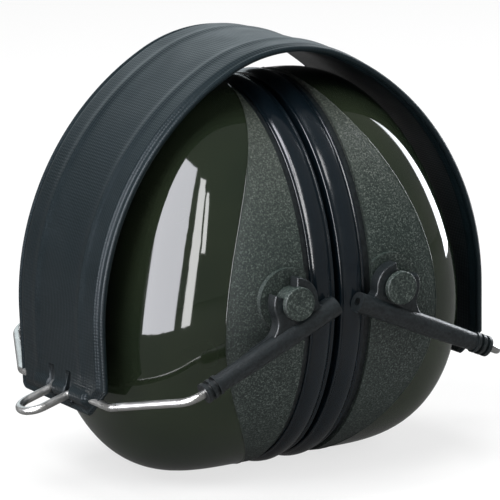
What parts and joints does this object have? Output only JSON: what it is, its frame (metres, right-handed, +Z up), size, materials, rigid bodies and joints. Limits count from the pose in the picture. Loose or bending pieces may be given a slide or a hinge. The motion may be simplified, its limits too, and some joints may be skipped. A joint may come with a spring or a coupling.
{
  "type": "earmuff hearing protector",
  "caption": "Folding over-head earmuff hearing protector: padded band, wire forks, sliding arms and deep cups with soft oval cushions.",
  "frame": {"origin": "centre of the folded muff's footprint, at the bottom of the cups", "axes": "+X from ear to ear towards the wearer's right cup, +Y to the rear, +Z up towards the crown of the band"},
  "size_m": [0.1434, 0.1044, 0.1156],
  "materials": {
    "band_vinyl": "embossed vinyl",
    "foam": "open-cell foam",
    "spring_steel": "blued spring steel",
    "wire_steel": "bright drawn wire",
    "arm_plastic": "satin moulded",
    "collar_plastic": "satin moulded",
    "cup_plastic": "gloss outside, spark-eroded rim",
    "plate_plastic": "satin moulded",
    "cushion_vinyl": "gloss vinyl",
    "liner_cloth": "felt"
  },
  "bodies": {
    "headband": {"band_cover_outer": "band_vinyl", "band_cover_inner": "band_vinyl", "band_pad_outer": "foam", "band_pad_inner": "foam", "spring_strip": "spring_steel"},
    "fork_left": {"fork_wire_left": "wire_steel"},
    "arms_left": {"arm_front_left": "arm_plastic", "arm_rear_left": "arm_plastic", "collar_front_left": "collar_plastic", "collar_rear_left": "collar_plastic"},
    "cup_left": {"cup_shell_left": "cup_plastic", "cushion_plate_left": "plate_plastic", "cushion_cover_left": "cushion_vinyl", "cushion_foam_left": "foam", "absorber_foam_left": "foam", "absorber_liner_left": "liner_cloth"},
    "fork_right": {"fork_wire_right": "wire_steel"},
    "arms_right": {"arm_front_right": "arm_plastic", "arm_rear_right": "arm_plastic", "collar_front_right": "collar_plastic", "collar_rear_right": "collar_plastic"},
    "cup_right": {"cup_shell_right": "cup_plastic", "cushion_plate_right": "plate_plastic", "cushion_cover_right": "cushion_vinyl", "cushion_foam_right": "foam", "absorber_foam_right": "foam", "absorber_liner_right": "liner_cloth"}
  },
  "joints": [
    {"name": "fold_left", "type": "hinge", "parent": "headband", "child": "fork_left", "pos_m": [-0.05771, 0, 0.02683], "axis": [0, 1, 0], "range_deg": [0, 85], "deforming": ["cushion_cover_left", "cushion_foam_left"]},
    {"name": "height_left", "type": "slide", "parent": "fork_left", "child": "arms_left", "axis": [0.9135, 0, 0.4067], "range_m": [0, 0.025]},
    {"name": "tilt_left", "type": "hinge", "parent": "arms_left", "child": "cup_left", "pos_m": [-0.01551, 0, 0.0535], "axis": [0, 1, 0], "range_deg": [-100, 10]},
    {"name": "fold_right", "type": "hinge", "parent": "headband", "child": "fork_right", "pos_m": [0.05771, 0, 0.02683], "axis": [0, -1, 0], "range_deg": [0, 85], "deforming": ["cushion_cover_right", "cushion_foam_right"]},
    {"name": "height_right", "type": "slide", "parent": "fork_right", "child": "arms_right", "axis": [-0.9135, 0, 0.4067], "range_m": [0, 0.025]},
    {"name": "tilt_right", "type": "hinge", "parent": "arms_right", "child": "cup_right", "pos_m": [0.01551, 0, 0.0535], "axis": [0, -1, 0], "range_deg": [-100, 10]}
  ],
  "couplings": [
    {"joint": "height_left", "follows": "fold_left", "m_per_rad": 0.0115},
    {"joint": "tilt_left", "follows": "fold_left", "ratio": -1},
    {"joint": "height_right", "follows": "fold_right", "m_per_rad": 0.0115},
    {"joint": "tilt_right", "follows": "fold_right", "ratio": -1}
  ]
}
